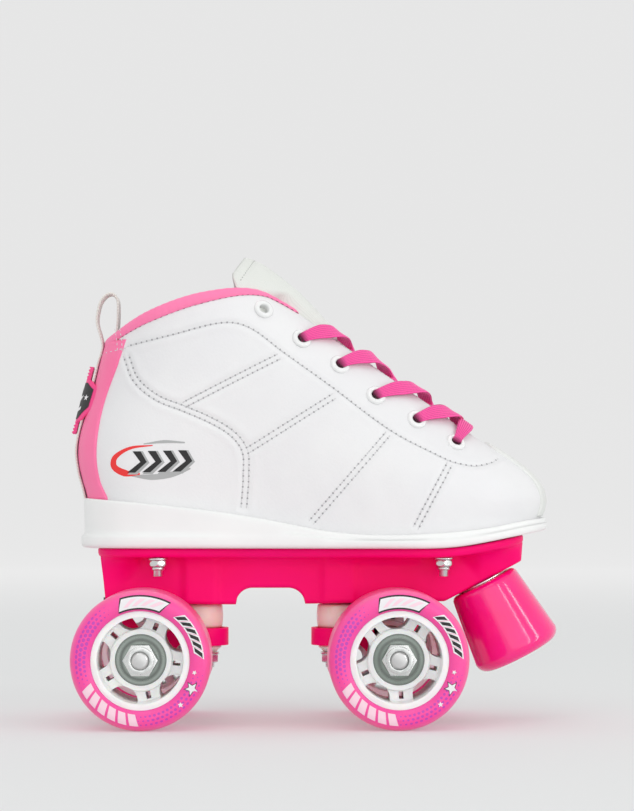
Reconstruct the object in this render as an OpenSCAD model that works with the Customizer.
// Quad roller skate: a high-top boot bolted to a moulded plate, with two steering trucks,
// four wheels on ball bearings and a toe stop.
// Millimetres, +Z up, +X towards the toe, -Y the outer side of a right boot.
// The origin is on the floor, under the centre of the skate's box.

/* [Wheels] */
// Wheel diameter
wheel_d = 60; // [57:0.5:60.5]
// Wheel width
wheel_w = 37; // [36:0.5:38]
// Gap between a wheel's inner face and the middle plane
wheel_gap = 16.5; // [16.5:0.5:18]
// Distance between the front and rear axles
wheelbase = 110; // [109:0.5:111]

/* [Trucks] */
// Distance from the middle of the wheelbase to each kingpin
kingpin_x = 30.5; // [30:0.5:31]
// Diameter of the kingpin and axle threads
axle_d = 8; // [7.8:0.1:8]
// Outer diameter of the hanger's kingpin ring
ring_d = 24.2; // [23:0.2:25]
// Diameter of the upper cushion
cushion_d = 19.4; // [18:0.2:20]

/* [Plate and toe stop] */
// Width of the plate's spine between the wheels
spine_w = 25; // [22:0.5:26]
// Thickness of the plate's flange under the sole
flange_t = 3.8; // [3.4:0.1:4.4]
// Diameter of the toe stop's rubbing face
stop_d = 40; // [36:1:42]
// Angle of the toe stop from the vertical
stop_tilt = 27.5; // [25:0.5:30]

/* [Boot] */
// Thickness of the upper, lining included
upper_t = 3; // [2.5:0.1:3.5]
// Outer diameter of an eyelet
eyelet_d = 8.9; // [8:0.1:9.5]
// Hole through an eyelet
eyelet_hole = 4.1; // [3.6:0.1:4.4]
// Width of the flat lace
lace_w = 6.5; // [5:0.5:7]

/* [Hidden] */
$fn = 64;
// X of the middle of the wheelbase, which puts the origin under the box's centre
mid_x = -21.6;
axle_z = wheel_d / 2;
hub_r = 21;
wheel_y = wheel_gap + wheel_w / 2;
axle_half = wheel_gap + wheel_w - 0.6;
// Windows and spokes of a hub, and the half width of its web
window_n = 5;
web_half = 9;
// Sign of X at each end, and of Y at each side
FRONT = 1;
REAR = -1;
LEFT = 1;
RIGHT = -1;

// 608 ball bearing
brg_od = 22;
brg_w = 7;
brg_pitch_r = 7.5;
ball_r = 1.984;
ball_n = 7;
brg_recess = 8;
race_face = wheel_w / 2 - brg_recess;
race_gap = 0.05;

// Steering axis: from the middle of the kingpin ring to the pivot ball
ring_z0 = 33.9;
ring_z1 = 41.5;
plate_z0 = 52;
pivot_x = 67;
pivot_z = 47;
pivot_r = 4.6;
socket_r = pivot_r + 0.3;
beam_half = 15.2;
neck_r = 5.9;

// Mounting bolts: [X from mid-wheelbase, Y]
bolt_xy = [for (x = [-48.9, 76], y = [-20.5, 20.5]) [x, y]];
bolt_r = 2;
bolt_end_z = 64.7;
nut_z0 = 67.4;
washer_r = 4.25;

// Toe stop: [X, Z] of its seat on the plate, its length, and the depth of its bolt in the plate
stop_xz = [94.4, 62.4];
stop_len = 37.4;
stop_bolt_in = 14;

// Exponent of the boot's rounded outlines
n_exp = 2.3;

// Height tables: [X, Z] along the sole's bottom and top edges
sole_bottom = [[-90, 77], [60, 77], [75, 77.2], [85, 78], [96, 79.7], [108, 81.9], [124, 84.7], [130, 85.6]];
sole_top = [[-90, 99.6], [-82, 98.9], [-46.6, 95.7], [-11.3, 91.3], [26, 84.5], [48, 83], [74.5, 83.8],
    [96.5, 86], [114, 89.1], [124, 90.3], [130, 91]];
// Half width of the boot at the sole and at the collar, along X
width_low = [[-90, 40], [-80, 40], [-68, 39], [-55, 35.5], [-40, 31.3], [-20, 28.3], [0, 28], [30, 31.4],
    [65, 38.2], [95, 39], [110, 39.5], [130, 39.5]];
width_high = [[-90, 34], [-60, 33], [-30, 31.4], [0, 30.5], [30, 31], [60, 33], [95, 36], [130, 35]];
// Heel and toe ends of the upper's outline at each height: [Z, X]
heel_line = [[76, -80], [95, -80.2], [100, -80.6], [107, -82.6], [113.8, -84.2], [120, -84.6], [126, -83.9],
    [134, -81.8], [143, -78.9], [151, -76.8], [159, -74.9], [167, -72.8], [175, -71.4], [200, -71]];
toe_line = [[76, 118], [86, 120.2], [90.3, 120.9], [94, 122.2], [99.3, 122.8], [105.6, 120.2], [112, 114],
    [118.4, 105], [125, 93.6], [131, 85.6], [138, 76.2], [147.5, 62.4], [160, 44.2], [170, 29.6], [180, 15.2],
    [200, -13.8]];
// Top edge of the quarters along the collar: [X, Z]
collar_line = [[-76, 166.4], [-71, 168.4], [-62, 173.6], [-54, 177.6], [-36.8, 184], [-22, 187.8],
    [-12, 189.3], [-4, 188.9], [4, 186], [10, 182.8], [16, 178.6]];
collar_x0 = 12.6;
throat_y = 11;
throat_end_z = 124.4;
cup_depth = 3.2;
rim_w = 3;
sole_margin = 3.2;
heel_seam_z = 168;

// Eyelet centres down the flap: [X, Z]
eyelet_xz = [[-2.8, 181.4], [13.9, 168.6], [30.6, 157.4], [46.3, 143.8], [64.2, 133.3], [81.4, 123.4]];
// Middle of the tongue from the toe end to the top: [X, Z]
tongue_line = [[90, 123.2], [70, 137], [50, 151.4], [36, 163.6], [26, 176], [12, 190.6], [-2, 201.6],
    [-11, 207]];
// Pull loop and back strap, up the heel and over: [X, Z]
strap_low_z = [100, 110, 120, 130, 140, 150, 158, 166];
loop_line = [[-75.4, 171], [-77, 177], [-76.6, 182], [-75.2, 186.6], [-72.6, 189.4], [-70, 189.8],
    [-67.9, 187], [-67.6, 182], [-67.8, 176], [-68.4, 168], [-69.6, 160]];
strap_w = 13;
strap_t = 1.3;
// Front edge of the heel stay: [Z, X], and the heights of its rows
stay_front = [[99, -71], [106.5, -74.4], [117, -76], [130, -75], [143, -72], [160, -65.6], [172, -61.5]];
stay_z = [99.4, 106, 113, 120, 127, 135, 143, 151, 159, 166];
badge_h = 31;
badge_w = 20;
badge_t = 2.4;
// Heights of the toe strip's rows
toe_zs = [92, 96, 100, 105, 110, 115, 119, 123];
// Outward direction of the throat's middle
top_up = [0.57, 0, 0.82];
// Columns round half of the upper, and the share of them along the throat
cols = 36;
throat_share = 0.42;

// ---- Functions ----

function lerp(a, b, t) = a + (b - a) * t;
function clamp(v, lo, hi) = min(max(v, lo), hi);
function ease(t) = let (c = clamp(t, 0, 1)) c * c * (3 - 2 * c);
function signed_pow(v, p) = sign(v) * pow(abs(v), p);
function seg_of(t, x, i = 0) = i >= len(t) - 2 || x < t[i + 1][0] ? i : seg_of(t, x, i + 1);
function slope_of(t, i) =
    i <= 0 ? (t[1][1] - t[0][1]) / (t[1][0] - t[0][0])
    : i >= len(t) - 1 ? (t[i][1] - t[i - 1][1]) / (t[i][0] - t[i - 1][0])
    : (t[i + 1][1] - t[i - 1][1]) / (t[i + 1][0] - t[i - 1][0]);
// Smooth curve through a table of [x, y], by cubic Hermite pieces
function curve(t, x) = let (
        i = seg_of(t, x),
        h = t[i + 1][0] - t[i][0],
        u = clamp((x - t[i][0]) / h, 0, 1),
        m0 = slope_of(t, i) * h,
        m1 = slope_of(t, i + 1) * h
    ) (2 * u * u * u - 3 * u * u + 1) * t[i][1] + (u * u * u - 2 * u * u + u) * m0
    + (3 * u * u - 2 * u * u * u) * t[i + 1][1] + (u * u * u - u * u) * m1;

// The forefoot bends towards the inner side
function bend(x) = let (u = max(0, (x - 10) / 115)) 4.5 * u * u;
function half_width(x, z) = lerp(curve(width_low, x), curve(width_high, x), ease((z - 85) / 85));
function mid_of(z) = (curve(toe_line, z) + curve(heel_line, z)) / 2;
function reach_of(z) = (curve(toe_line, z) - curve(heel_line, z)) / 2;
// Point of the upper's outer surface at height z and angle a round the boot, 0 at the toe
function skin(z, a) = let (
        x = mid_of(z) + reach_of(z) * signed_pow(cos(a), 2 / n_exp)
    ) [x, half_width(x, z) * signed_pow(sin(a), 2 / n_exp) + bend(x), z];
function skin_normal(z, a) = let (
        along = skin(z, a + 2) - skin(z, a - 2),
        up = skin(z + 1, a) - skin(z - 1, a),
        n = cross(along, up)
    ) n / norm(n);
function off_skin(z, a, d) = skin(z, a) + d * skin_normal(z, a);
function angle_at(x, z) = acos(signed_pow(clamp((x - mid_of(z)) / reach_of(z), -1, 1), n_exp / 2));
// Angle at which the front of the boot is y from its middle line
function angle_for_y(y, z) = asin(pow(clamp(y / half_width(curve(toe_line, z), z), 0, 1), n_exp / 2));

// Top edge of the upper, for a share s of the way from the toe to the heel: [z, angle]
function throat_edge(s) = let (
        u = s / throat_share,
        z = throat_end_z + (curve(collar_line, collar_x0) - throat_end_z) * pow(u, 1.25),
        y = throat_y * sin(90 * clamp(u / 0.16, 0, 1))
    ) [z, angle_for_y(y, z)];
function collar_edge(s) = let (
        u = (s - throat_share) / (1 - throat_share),
        x = lerp(collar_x0, curve(heel_line, heel_seam_z) - 0.01, sin(90 * u)),
        z = curve(collar_line, x),
        join = throat_edge(throat_share)
    ) u <= 0 ? join : u >= 1 ? [z, 180] : [z, max(angle_at(x, z), lerp(join[1], 40, u * 6))];
function top_edge(s) = s <= throat_share ? throat_edge(s) : collar_edge(s);
function upper_foot(a) = let (x = skin(88, a)[0]) curve(sole_top, x) - cup_depth + 0.2;
// Point of the upper at share s round and share v up, moved off the skin by d
function upper_at(s, v, d) = let (
        a0 = 180 * s,
        z0 = upper_foot(a0),
        t = top_edge(s)
    ) off_skin(lerp(z0, t[0], v), lerp(a0, t[1], v), d);
function across(p, side) = [p[0], side * (p[1] - bend(p[0])) + bend(p[0]), p[2]];
function upper_loop(v, d) = [
    for (k = [0 : cols]) upper_at(k / cols, v, d),
    for (k = [cols - 1 : -1 : 1]) across(upper_at(k / cols, v, d), -1)
];

// Outline of the sole at angle a, drawn in by d
function sole_xy(a, d) = let (
        x = 20.1 + (104 - d) * signed_pow(cos(a), 2 / n_exp)
    ) [x, (curve(width_low, x) + sole_margin - d) * signed_pow(sin(a), 2 / n_exp) + bend(x)];
function heel_share(x) = 1 - ease((x + 50) / 40);

// ---- Shapes shared by several pieces ----

module shifted() {
    translate([mid_x, 0, 0]) children();
}

// Closed solid from loops of points, each anticlockwise seen from above, listed from the bottom up
module loft(loops) {
    n = len(loops[0]);
    m = len(loops);
    sides = [
        for (j = [0 : m - 2], i = [0 : n - 1])
            let (a = j * n + i, b = j * n + (i + 1) % n)
            each [[a, a + n, b + n], [a, b + n, b]]
    ];
    cap = [
        for (k = [0 : n / 2 - 1])
            let (p = k, q = k + 1, r = n - k - 1, s = (n - k) % n)
            each [if (q != r) [p, q, r], if (p != s) [p, r, s]]
    ];
    top = [for (f = cap) [f[2] + (m - 1) * n, f[1] + (m - 1) * n, f[0] + (m - 1) * n]];
    polyhedron([for (l = loops) each l], concat(sides, cap, top));
}

// Closed ring-shaped shell from loops that go up its outside and down its inside
module ring_loft(loops) {
    n = len(loops[0]);
    m = len(loops);
    polyhedron([for (l = loops) each l], [
        for (j = [0 : m - 1], i = [0 : n - 1])
            let (
                a = j * n + i,
                b = j * n + (i + 1) % n,
                c = ((j + 1) % m) * n + i,
                d = ((j + 1) % m) * n + (i + 1) % n
            )
            each [[a, c, d], [a, d, b]]
    ]);
}

// Sheet between an outer and an inner grid of points, rows upwards and columns anticlockwise
module sheet(outer, inner) {
    m = len(outer);
    n = len(outer[0]);
    o = m * n;
    function at(j, i) = j * n + i;
    polyhedron(concat([for (r = outer) each r], [for (r = inner) each r]), concat(
        [for (j = [0 : m - 2], i = [0 : n - 2])
            each [[at(j, i), at(j + 1, i), at(j + 1, i + 1)], [at(j, i), at(j + 1, i + 1), at(j, i + 1)]]],
        [for (j = [0 : m - 2], i = [0 : n - 2])
            each [[o + at(j, i), o + at(j + 1, i + 1), o + at(j + 1, i)],
                [o + at(j, i), o + at(j, i + 1), o + at(j + 1, i + 1)]]],
        [for (j = [0 : m - 2])
            each [[at(j, 0), o + at(j, 0), o + at(j + 1, 0)], [at(j, 0), o + at(j + 1, 0), at(j + 1, 0)],
                [at(j, n - 1), o + at(j + 1, n - 1), o + at(j, n - 1)],
                [at(j, n - 1), at(j + 1, n - 1), o + at(j + 1, n - 1)]]],
        [for (i = [0 : n - 2])
            each [[at(0, i), o + at(0, i + 1), o + at(0, i)], [at(0, i), at(0, i + 1), o + at(0, i + 1)],
                [at(m - 1, i), o + at(m - 1, i), o + at(m - 1, i + 1)],
                [at(m - 1, i), o + at(m - 1, i + 1), at(m - 1, i + 1)]]]
    ));
}

// Flat band of width w and thickness t along points, each with its outward direction
module band(pts, ups, w, t) {
    m = len(pts);
    rings = [
        for (k = [0 : m - 1])
            let (
                d = pts[min(k + 1, m - 1)] - pts[max(k - 1, 0)],
                s0 = cross(d, ups[k]),
                s = s0 / norm(s0),
                u0 = cross(s, d),
                u = u0 / norm(u0)
            )
            each [
                pts[k] - s * w / 2 - u * t / 2,
                pts[k] + s * w / 2 - u * t / 2,
                pts[k] + s * w / 2 + u * t / 2,
                pts[k] - s * w / 2 + u * t / 2
            ]
    ];
    polyhedron(rings, concat(
        [[0, 2, 1], [0, 3, 2]],
        [for (k = [0 : m - 2], i = [0 : 3])
            let (a = 4 * k + i, b = 4 * k + (i + 1) % 4)
            each [[a, b + 4, a + 4], [a, b, b + 4]]],
        [[4 * m - 4, 4 * m - 3, 4 * m - 2], [4 * m - 4, 4 * m - 2, 4 * m - 1]]
    ));
}

// Turns +Z to direction v
module aim(v) {
    rotate([0, acos(v[2] / norm(v)), atan2(v[1], v[0])]) children();
}

module at_axle(end) {
    translate([mid_x + end * wheelbase / 2, 0, axle_z]) children();
}

module at_kingpin(end) {
    translate([mid_x + end * kingpin_x, 0, 0]) children();
}

// Wheel frame: +Z along the axle, outwards, from the wheel's middle
module at_wheel(end, side) {
    at_axle(end) translate([0, side * wheel_y, 0]) rotate([-side * 90, 0, 0]) children();
}

module hex_nut(af, h, bore_r) {
    difference() {
        cylinder(d = af / cos(30), h = h, $fn = 6);
        translate([0, 0, -1]) cylinder(r = bore_r, h = h + 2);
    }
}

module washer(r, bore_r, h) {
    difference() {
        cylinder(r = r, h = h);
        translate([0, 0, -1]) cylinder(r = bore_r, h = h + 2);
    }
}

// ---- Boot ----

module at_eyelet(i, side) {
    x = eyelet_xz[i][0];
    z = eyelet_xz[i][1];
    a = angle_at(x, z);
    p = across(skin(z, a), side);
    n = skin_normal(z, a);
    translate(p) aim([n[0], side * n[1], n[2]]) children();
}

module boot_upper() {
    up = [0, 0.12, 0.25, 0.4, 0.55, 0.7, 0.85, 1];
    color("whitesmoke") shifted() difference() {
        ring_loft(concat(
            [for (v = up) upper_loop(v, 0)],
            [for (k = [len(up) - 1 : -1 : 0]) upper_loop(up[k], -upper_t)]
        ));
        for (i = [0 : len(eyelet_xz) - 1], side = [RIGHT, LEFT])
            at_eyelet(i, side) translate([0, 0, -8]) cylinder(r = eyelet_hole / 2 + 0.6, h = 14, $fn = 24);
    }
}

// Padded binding over the collar's edge, a round bead swept along it
module collar_binding() {
    first = 15;
    ks = [for (k = [first : cols]) k / cols, for (k = [cols - 1 : -1 : first]) -k / cols];
    mids = [for (s = ks) across(upper_at(abs(s), 1, -upper_t / 2), sign(s))];
    m = len(mids);
    bead_r = 2.7;
    sides = 8;
    rings = [
        for (k = [0 : m - 1])
            let (
                d = mids[min(k + 1, m - 1)] - mids[max(k - 1, 0)],
                s0 = cross(d, [0, 0, 1]),
                s = s0 / norm(s0),
                u0 = cross(s, d),
                u = u0 / norm(u0)
            )
            [for (j = [0 : sides - 1]) let (t = 360 * j / sides) mids[k] + bead_r * (cos(t) * s + sin(t) * u)]
    ];
    ends = [for (j = [1 : sides - 2]) each [[0, j + 1, j]]];
    last = (m - 1) * sides;
    color("hotpink") shifted() polyhedron([for (r = rings) each r], concat(
        ends,
        [for (f = ends) [last + f[2], last + f[1], last + f[0]]],
        [for (k = [0 : m - 2], j = [0 : sides - 1])
            let (a = k * sides + j, b = k * sides + (j + 1) % sides)
            each [[a, b + sides, a + sides], [a, b, b + sides]]]
    ));
}

// Strips of the heel stay, one each side of the seam
function stay_angles(z) = let (
        a0 = angle_at(curve(stay_front, z), z),
        a1 = 180 - asin(pow(5.5 / half_width(curve(heel_line, z), z), n_exp / 2))
    ) [for (k = [0 : 6]) lerp(a0, a1, k / 6)];
module heel_stay() {
    color("lightpink") shifted() for (side = [RIGHT, LEFT]) mirrored(side)
        sheet(
            [for (z = stay_z) [for (a = stay_angles(z)) across(off_skin(z, a, 0.95), 1)]],
            [for (z = stay_z) [for (a = stay_angles(z)) across(off_skin(z, a, 0.05), 1)]]
        );
}
module mirrored(side) {
    if (side > 0) children();
    else mirror([0, 1, 0]) children();
}

function strap_path() = concat(
    [for (z = strap_low_z) [curve(heel_line, z) - 1.8, z]],
    loop_line
);
function side_of(pts, k) = let (
        m = len(pts),
        d = pts[min(k + 1, m - 1)] - pts[max(k - 1, 0)]
    ) [d[1], -d[0]] / norm(d);
module back_strap() {
    path = strap_path();
    m = len(path);
    color("snow") shifted() rotate([90, 0, 0]) linear_extrude(strap_w, center = true) polygon(concat(
        [for (k = [0 : m - 1]) path[k] + side_of(path, k) * strap_t / 2],
        [for (k = [m - 1 : -1 : 0]) path[k] - side_of(path, k) * strap_t / 2]
    ));
}

module heel_badge() {
    color("black") shifted() translate([-82.6, 0, 142.4]) rotate([0, 15, 0]) rotate([0, -90, 0])
        translate([0, 0, -0.9]) linear_extrude(badge_t) offset(r = 4, $fn = 32) polygon([
            [-badge_h / 2 + 4, -badge_w / 5], [-badge_h / 6, -badge_w / 2 + 4],
            [badge_h / 2 - 4, -badge_w / 2 + 5], [badge_h / 2 - 4, badge_w / 2 - 5],
            [-badge_h / 6, badge_w / 2 - 4], [-badge_h / 2 + 4, badge_w / 5]
        ]);
}

function tongue_dir(k) = let (
        m = len(tongue_line),
        d = tongue_line[min(k + 1, m - 1)] - tongue_line[max(k - 1, 0)]
    ) [d[1], 0, -d[0]] / norm(d);
function tongue_row(k, d) = let (
        c = tongue_line[k],
        n = tongue_dir(k),
        w = lerp(17, 25, k / (len(tongue_line) - 1))
    ) [for (j = [-6 : 6]) let (y = w * j / 6)
        [c[0], y + bend(c[0]), c[1]] + n * (d - 9.3 * pow(abs(y) / 20, 1.7))];
module tongue() {
    rows = [for (k = [0 : len(tongue_line) - 1]) k];
    color("ivory") shifted() sheet(
        [for (k = rows) tongue_row(k, 0)],
        [for (k = rows) tongue_row(k, -4)]
    );
}

function strip_row(z, d) = [
    for (j = [-5 : 5]) across(off_skin(z, angle_for_y(12, z) * abs(j) / 5, d), j < 0 ? -1 : 1)
];
module toe_strip() {
    color("ivory") shifted()
        sheet([for (z = toe_zs) strip_row(z, 0.9)], [for (z = toe_zs) strip_row(z, 0.05)]);
}

module eyelet() {
    r = eyelet_hole / 2;
    rotate_extrude() polygon([
        [r, 0.9], [r + 0.5, 1.2], [eyelet_d / 2 - 0.8, 1.1], [eyelet_d / 2, 0.4], [eyelet_d / 2, 0.1],
        [r + 0.5, 0.1], [r + 0.5, -upper_t - 0.1], [eyelet_d / 2 - 1, -upper_t - 0.1],
        [eyelet_d / 2 - 1, -upper_t - 0.7], [r, -upper_t - 0.7]
    ]);
}
module eyelets() {
    color("white") shifted() for (i = [0 : len(eyelet_xz) - 1], side = [RIGHT, LEFT])
        at_eyelet(i, side) eyelet();
}

// One crossing of the lace: out of the throat from under the flap at eyelet low on one side,
// and over the other flap into eyelet high
function eyelet_at(i, side, d) = let (
        x = eyelet_xz[i][0],
        z = eyelet_xz[i][1]
    ) across(off_skin(z, angle_at(x, z), d), side);
function eyelet_up(i, side) = let (
        x = eyelet_xz[i][0],
        z = eyelet_xz[i][1],
        n = skin_normal(z, angle_at(x, z))
    ) [n[0], side * n[1], n[2]];
function edge_at(z, side, d) = across(off_skin(z, angle_for_y(throat_y, z), d), side);
module crossing(high, low, side) {
    za = eyelet_xz[high][1] + 1.5;
    zb = eyelet_xz[low][1] + 4;
    a = edge_at(za, side, 1.6);
    b = edge_at(zb, -side, -upper_t - 0.9);
    over = [0, 0, side > 0 ? 2.4 : 0];
    band(
        [eyelet_at(high, side, 1.3), lerp(eyelet_at(high, side, 3), a, 0.45) + [0, 0, 0.6],
            a + [0, 0, 0.8] + over / 2, lerp(a, b, 0.4) + [0, 0, 1.2] + over,
            lerp(a, b, 0.7) + [0, 0, 0.8] + over, b, eyelet_at(low, -side, -upper_t - 1.5)],
        [eyelet_up(high, side), eyelet_up(high, side), top_up, top_up, top_up, top_up, eyelet_up(low, -side)],
        lace_w, 1.4
    );
}
module lace() {
    last = len(eyelet_xz) - 1;
    color("deeppink") shifted() {
        for (i = [1 : last - 1], side = [RIGHT, LEFT]) crossing(i, i + 1, side);
        band(
            [eyelet_at(last, RIGHT, 1.3), edge_at(128, RIGHT, 2.2),
                edge_at(128, LEFT, 2.2), eyelet_at(last, LEFT, 1.3)],
            [eyelet_up(last, RIGHT), top_up, top_up, eyelet_up(last, LEFT)],
            lace_w, 1.4
        );
    }
}

module insole() {
    color("gainsboro") shifted() loft([
        for (h = [0.6, 3.4])
            [for (k = [0 : 47])
                let (p = sole_xy(360 * k / 48, 8.4)) [p[0], p[1], curve(sole_top, p[0]) - cup_depth + h]]
    ]);
}

// Cup sole: a flat tread, a wedge heel with a proud lower lip, and a rim round the upper
function sole_loop(d, base, h) = [
    for (k = [0 : 71])
        let (
            a = 5 * k,
            p = sole_xy(a, d),
            q = sole_xy(a, 0)
        ) [p[0], p[1], (base == 0 ? curve(sole_bottom, q[0]) : curve(sole_top, q[0])) + h]
];
function lip_loop(step, h) = [
    for (k = [0 : 71])
        let (
            a = 5 * k,
            q = sole_xy(a, 0),
            p = sole_xy(a, 0.3 + step * heel_share(q[0])),
            low = curve(sole_bottom, q[0]),
            high = curve(sole_top, q[0])
        ) [p[0], p[1], low + min(h, (high - low) * 0.6)]
];
function bolt_head_z(x) = curve(sole_top, x) - cup_depth - 2.2;
module outsole() {
    color("white") shifted() difference() {
        loft([
            sole_loop(3, 0, 0), sole_loop(0.8, 0, 0.5), sole_loop(0, 0, 1.8), lip_loop(-0.3, 5.6),
            lip_loop(1.2, 6.8), sole_loop(0.7, 1, -1.2), sole_loop(1.5, 1, 0), sole_loop(rim_w, 1, 0),
            sole_loop(rim_w + 0.3, 1, -cup_depth)
        ]);
        for (p = bolt_xy) translate([p[0], p[1], 70]) cylinder(r = bolt_r + 0.1, h = 40);
        for (p = bolt_xy) translate([p[0], p[1], bolt_head_z(p[0])]) cylinder(r = 4.1, h = 10);
    }
}

// ---- Plate ----

function flange_xy(a, d) = let (
        x = 18.3 + (94.5 - d) * signed_pow(cos(a), 2 / 2.8)
    ) [x, (curve(width_low, x) - 4 - d) * signed_pow(sin(a), 2 / 2.8) + bend(x) * 0.6];
function flange_loop(d, h) = [
    for (k = [0 : 71])
        let (p = flange_xy(5 * k, d)) [p[0], p[1], curve(sole_bottom, p[0]) - 0.15 - h]
];
// Side view of the spine: arch between the trucks, and a nose that rises under the toe
function arc_pts(c, r, a0, a1, n) = [
    for (k = [0 : n]) let (a = lerp(a0, a1, k / n)) c + r * [cos(a), sin(a)]
];
function spine_outline() = concat(
    [[-74.8, 73.4], [-73.4, 63.5], [-72.4, 54], [-70.5, 52.4]],
    [[-16.8, plate_z0 + 0.1]],
    arc_pts([-7.7, plate_z0 + 0.1], 7.3, 180, 90, 6),
    arc_pts([8, 51.9], 7.5, 90, 0, 6),
    [[17.7, 52.4], [74, 53.4], [77.2, 53.4]],
    [[111.6, stop_xz[1] + (111.6 - stop_xz[0]) * tan(stop_tilt)]],
    [[111.6, 78], [96, 77], [70, 74], [-74, 74]]
);
module plate() {
    color("deeppink") shifted() difference() {
        union() {
            loft([flange_loop(1.2, flange_t), flange_loop(0, flange_t - 1), flange_loop(0, 0)]);
            rotate([90, 0, 0]) linear_extrude(spine_w, center = true) polygon(spine_outline());
            for (end = [FRONT, REAR]) {
                translate([end * kingpin_x, 0, plate_z0]) cylinder(r = 14.2, h = 22);
                translate([end * pivot_x, 0, pivot_z]) cylinder(r = 9.4, h = 24);
            }
            stop_pad();
        }
        for (p = bolt_xy) translate([p[0], p[1], 60]) cylinder(r = bolt_r + 0.1, h = 40);
        for (end = [FRONT, REAR]) {
            translate([end * kingpin_x, 0, plate_z0 - 1]) cylinder(r = axle_d / 2, h = 19);
            translate([end * kingpin_x, 0, 70]) cylinder(d = 13 / cos(30) + 0.4, h = 6.85, $fn = 6);
            translate([end * pivot_x, 0, pivot_z - 1]) cylinder(r = 7, h = 9);
        }
        at_stop() translate([0, 0, -stop_bolt_in - 0.5]) cylinder(r = 4, h = 40);
    }
}
// Frame of the toe stop: +Z along its axis towards the rubbing face, from the plate's slanted pad
module at_stop() {
    translate([stop_xz[0], 0, stop_xz[1]]) rotate([0, 180 - stop_tilt, 0]) children();
}
module stop_pad() {
    difference() {
        at_stop() translate([0, 0, -13]) cylinder(r = 13.6, h = 13);
        translate([60, -30, 76]) cube([80, 60, 30]);
    }
}

module mount_bolts() {
    color("silver") for (p = bolt_xy) translate([mid_x + p[0], p[1], 0]) {
        top = bolt_head_z(p[0]);
        translate([0, 0, bolt_end_z]) cylinder(r = bolt_r, h = top - bolt_end_z + 1);
        translate([0, 0, top]) cylinder(r = 4, h = 1.9);
    }
}
function flange_low(x) = curve(sole_bottom, x) - 0.15 - flange_t;
module mount_washers() {
    color("silver") for (p = bolt_xy) translate([mid_x + p[0], p[1], flange_low(p[0]) - 1.2])
        washer(washer_r, bolt_r + 0.1, 0.95);
}
module mount_nuts() {
    color("silver") for (p = bolt_xy) translate([mid_x + p[0], p[1], nut_z0]) {
        translate([0, 0, 1.6]) hex_nut(7, flange_low(p[0]) - 1.25 - nut_z0 - 1.6, bolt_r);
        washer(2.9, bolt_r, 1.6);
    }
}

module toe_stop() {
    neck_r = 15.6;
    face_r = stop_d / 2;
    color("deeppink") shifted() at_stop() rotate_extrude() polygon(concat(
        [[4.2, 1], [13.6, 1], [neck_r, 1.6], [neck_r + 1, 3.4]],
        arc_pts([face_r - 4.4, stop_len - 5], 5, 10, 90, 6),
        [[8, stop_len], [8, stop_len - 6], [4.2, stop_len - 6]]
    ));
}
module toe_stop_bolt() {
    color("silver") shifted() at_stop() {
        translate([0, 0, -stop_bolt_in]) cylinder(r = 3.95, h = stop_len - 5 + stop_bolt_in);
        translate([0, 0, stop_len - 5.9]) cylinder(r = 6.4, h = 4.2);
    }
}
module toe_stop_washer() {
    color("silver") shifted() at_stop() translate([0, 0, 0.05]) washer(12, 4.1, 0.9);
}

// ---- Trucks ----

module pivot_cups() {
    color("dimgray") for (end = [FRONT, REAR]) translate([mid_x + end * pivot_x, 0, pivot_z]) difference() {
        cylinder(r = 6.95, h = 7.8);
        sphere(r = socket_r);
    }
}
module kingpins() {
    color("silver") for (end = [FRONT, REAR]) at_kingpin(end) {
        translate([0, 0, 22.4]) cylinder(r = axle_d / 2 - 0.02, h = 70.05 - 22.4);
        translate([0, 0, 70.05]) cylinder(d = 13 / cos(30), h = 5.3, $fn = 6);
    }
}
module kingpin_washers() {
    color("silver") for (end = [FRONT, REAR])
        at_kingpin(end) translate([0, 0, 29.5]) washer(8, axle_d / 2, 1.2);
}
module kingpin_nuts() {
    color("silver") for (end = [FRONT, REAR]) at_kingpin(end) {
        translate([0, 0, 26]) hex_nut(13, 3.5, axle_d / 2);
        translate([0, 0, 23.8]) washer(5.8, axle_d / 2, 2.2);
    }
}
module cushion(end, pts) {
    color("linen") at_kingpin(end) rotate_extrude() polygon(pts);
}
module upper_cushion(end) {
    r = cushion_d / 2;
    cushion(end, [
        [4.1, ring_z1], [r - 1, ring_z1], [r, ring_z1 + 1],
        [r, plate_z0 - 1], [r - 1, plate_z0], [4.1, plate_z0]
    ]);
}
module lower_cushion(end) {
    cushion(end, [[4.1, 30.7], [7.4, 30.7], [9, ring_z0], [4.1, ring_z0]]);
}
module upper_cushion_front() { upper_cushion(FRONT); }
module upper_cushion_rear() { upper_cushion(REAR); }
module lower_cushion_front() { lower_cushion(FRONT); }
module lower_cushion_rear() { lower_cushion(REAR); }

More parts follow.
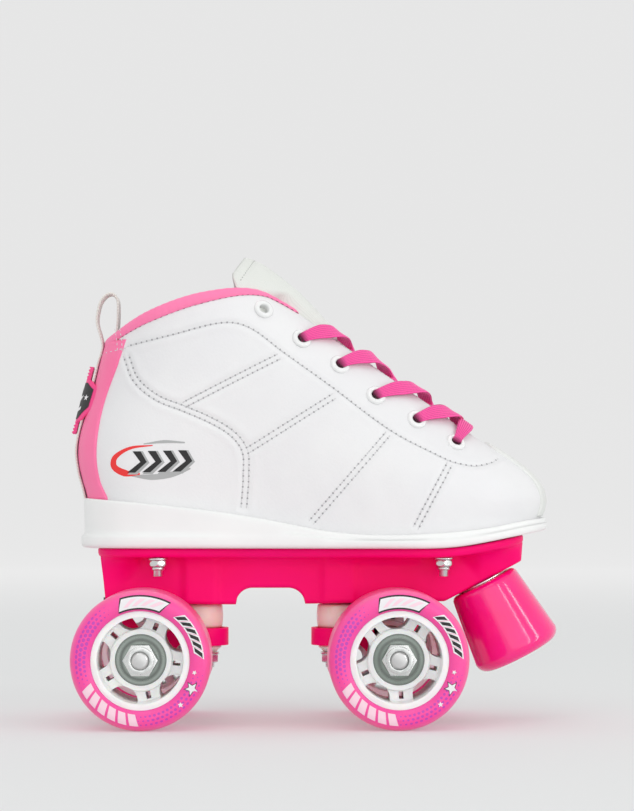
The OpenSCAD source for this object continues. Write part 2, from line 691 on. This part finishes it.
// Moulded hanger: kingpin ring, arm to the axle beam, and the ball that sits in the pivot cup
module hanger(end) {
    dx = wheelbase / 2;
    arm = [pivot_x - dx, 0, pivot_z - axle_z];
    color("deeppink") translate([mid_x, 0, 0]) mirror([end < 0 ? 1 : 0, 0, 0]) difference() {
        union() {
            translate([kingpin_x, 0, ring_z0]) cylinder(d = ring_d, h = ring_z1 - ring_z0);
            rotate([90, 0, 0]) linear_extrude(15, center = true) polygon([
                [kingpin_x + 9, ring_z0 + 0.6], [dx - 5, axle_z - 6], [dx + 4, axle_z - 4],
                [dx + 5, axle_z + 5], [dx - 3, axle_z + 9], [kingpin_x + 8, ring_z1 - 0.4]
            ]);
            translate([dx, 0, axle_z]) rotate([90, 0, 0]) {
                cylinder(r = 7.8, h = 2 * beam_half, center = true);
                cylinder(r = neck_r, h = 2 * (wheel_gap + brg_recess - 0.05), center = true);
            }
            translate([dx, 0, axle_z]) aim(arm) cylinder(r = 4, h = norm(arm));
            translate([pivot_x, 0, pivot_z]) sphere(r = pivot_r);
        }
        translate([kingpin_x, 0, ring_z0 - 1]) cylinder(r = 6, h = 12);
        translate([kingpin_x, 0, ring_z1 - 0.9]) rotate_extrude() translate([8.2, 0]) square([2.2, 2]);
        translate([dx, 0, axle_z]) rotate([90, 0, 0]) cylinder(r = axle_d / 2, h = 80, center = true);
    }
}
module hanger_front() { hanger(FRONT); }
module hanger_rear() { hanger(REAR); }

module axle(end) {
    color("silver") at_axle(end) rotate([90, 0, 0]) {
        cylinder(r = axle_d / 2 - 0.02, h = 2 * axle_half - 2, center = true);
        for (s = [0, 180]) rotate([s, 0, 0]) translate([0, 0, axle_half - 1])
            cylinder(r1 = axle_d / 2 - 0.02, r2 = axle_d / 2 - 1, h = 1);
    }
}
module axle_front() { axle(FRONT); }
module axle_rear() { axle(REAR); }

module on_both_wheels(end) {
    for (side = [RIGHT, LEFT]) at_wheel(end, side) children();
}
module axle_washers(end) {
    color("silver") on_both_wheels(end) translate([0, 0, race_face + 0.05]) washer(5.9, axle_d / 2, 1.3);
}
module axle_nuts(end) {
    color("silver") on_both_wheels(end) translate([0, 0, race_face + 1.4]) {
        hex_nut(13, 4.6, axle_d / 2);
        translate([0, 0, 4.6]) washer(5.8, axle_d / 2, 1.2);
    }
}
module axle_washers_front() { axle_washers(FRONT); }
module axle_washers_rear() { axle_washers(REAR); }
module axle_nuts_front() { axle_nuts(FRONT); }
module axle_nuts_rear() { axle_nuts(REAR); }

// ---- Wheels and bearings ----

module at_bearings() {
    for (s = [-1, 1]) translate([0, 0, s * (race_face - brg_w / 2)]) children();
}
module ball_groove() {
    rotate_extrude() translate([brg_pitch_r, 0]) circle(r = ball_r + race_gap, $fn = 48);
}
module inner_race() {
    difference() {
        translate([0, 0, -brg_w / 2]) washer(6.05, axle_d / 2, brg_w);
        ball_groove();
    }
}
module inner_races(end) {
    spacer = 2 * (race_face - brg_w) - 0.1;
    color("darkgray") on_both_wheels(end) {
        at_bearings() inner_race();
        translate([0, 0, -spacer / 2]) washer(5.4, axle_d / 2, spacer);
    }
}
module inner_races_front() { inner_races(FRONT); }
module inner_races_rear() { inner_races(REAR); }

module outer_race() {
    difference() {
        translate([0, 0, -brg_w / 2]) washer(brg_od / 2, 8.9, brg_w);
        ball_groove();
    }
    for (s = [-1, 1]) translate([0, 0, s * 3.1 - 0.15]) washer(9.1, 6.35, 0.3);
}
module outer_races(end, side) {
    color("lightsteelblue") at_wheel(end, side) at_bearings() outer_race();
}
module ball_set(end, side) {
    color("slategray") at_wheel(end, side) at_bearings() {
        for (k = [0 : ball_n - 1]) rotate(360 * k / ball_n) translate([brg_pitch_r, 0, 0]) sphere(r = ball_r);
        difference() {
            translate([0, 0, -2.5]) washer(7.9, 7.1, 5);
            for (k = [0 : ball_n - 1]) rotate(360 * k / ball_n) rotate([0, 90, 0])
                cylinder(r = ball_r + race_gap, h = 10);
        }
    }
}

// Tyre profile: flat tread with rounded shoulders, and bevelled faces down to the hub
module tyre(end, side) {
    r = wheel_d / 2;
    h = wheel_w / 2;
    edge = 5;
    face_r = hub_r + 0.6;
    color("hotpink") at_wheel(end, side) rotate_extrude() polygon(concat(
        [[hub_r, -h + 1.2], [face_r, -h + 0.4], [r - edge, -h]],
        arc_pts([r - edge, -h + edge], edge, -75, 0, 6),
        arc_pts([r - edge, h - edge], edge, 0, 75, 6),
        [[r - edge, h], [face_r, h - 0.4], [hub_r, h - 1.2]]
    ));
}

// Spoked hub: rim, web with windows and slots, and the bearing housing
module hub(end, side) {
    h = wheel_w / 2;
    turn = end > 0 ? 22 : 30;
    color("white") at_wheel(end, side) difference() {
        rotate_extrude() polygon([
            [8.9, -race_face + brg_w], [brg_od / 2, -race_face + brg_w], [brg_od / 2, -race_face - 0.6],
            [13, -race_face - 0.6], [13.6, -web_half], [17.6, -web_half], [18.4, -h + 1.2], [hub_r, -h + 1.2],
            [hub_r, h - 1.2], [18.4, h - 1.2], [17.6, web_half], [13.6, web_half], [13, race_face + 0.6],
            [brg_od / 2, race_face + 0.6], [brg_od / 2, race_face - brg_w], [8.9, race_face - brg_w]
        ]);
        for (k = [0 : window_n - 1]) rotate(turn + 360 * k / window_n) {
            intersection() {
                translate([19.5, 0, -h - 1]) cylinder(r = 6.6, h = wheel_w + 2);
                translate([0, 0, -h - 2]) cylinder(r = 18.3, h = wheel_w + 4);
            }
            rotate(180 / window_n) translate([13.7, -1, -h - 1]) cube([3.2, 2, wheel_w + 2]);
        }
    }
}

module tyre_front_left() { tyre(FRONT, LEFT); }
module tyre_front_right() { tyre(FRONT, RIGHT); }
module tyre_rear_left() { tyre(REAR, LEFT); }
module tyre_rear_right() { tyre(REAR, RIGHT); }
module hub_front_left() { hub(FRONT, LEFT); }
module hub_front_right() { hub(FRONT, RIGHT); }
module hub_rear_left() { hub(REAR, LEFT); }
module hub_rear_right() { hub(REAR, RIGHT); }
module outer_races_front_left() { outer_races(FRONT, LEFT); }
module outer_races_front_right() { outer_races(FRONT, RIGHT); }
module outer_races_rear_left() { outer_races(REAR, LEFT); }
module outer_races_rear_right() { outer_races(REAR, RIGHT); }
module balls_front_left() { ball_set(FRONT, LEFT); }
module balls_front_right() { ball_set(FRONT, RIGHT); }
module balls_rear_left() { ball_set(REAR, LEFT); }
module balls_rear_right() { ball_set(REAR, RIGHT); }

boot_upper();
collar_binding();
heel_stay();
back_strap();
heel_badge();
tongue();
toe_strip();
eyelets();
lace();
insole();
outsole();
plate();
mount_bolts();
mount_washers();
mount_nuts();
toe_stop();
toe_stop_bolt();
toe_stop_washer();
pivot_cups();
kingpins();
kingpin_washers();
kingpin_nuts();
upper_cushion_front();
upper_cushion_rear();
lower_cushion_front();
lower_cushion_rear();
hanger_front();
hanger_rear();
axle_front();
axle_rear();
axle_nuts_front();
axle_nuts_rear();
axle_washers_front();
axle_washers_rear();
inner_races_front();
inner_races_rear();
tyre_front_left();
tyre_front_right();
tyre_rear_left();
tyre_rear_right();
hub_front_left();
hub_front_right();
hub_rear_left();
hub_rear_right();
outer_races_front_left();
outer_races_front_right();
outer_races_rear_left();
outer_races_rear_right();
balls_front_left();
balls_front_right();
balls_rear_left();
balls_rear_right();
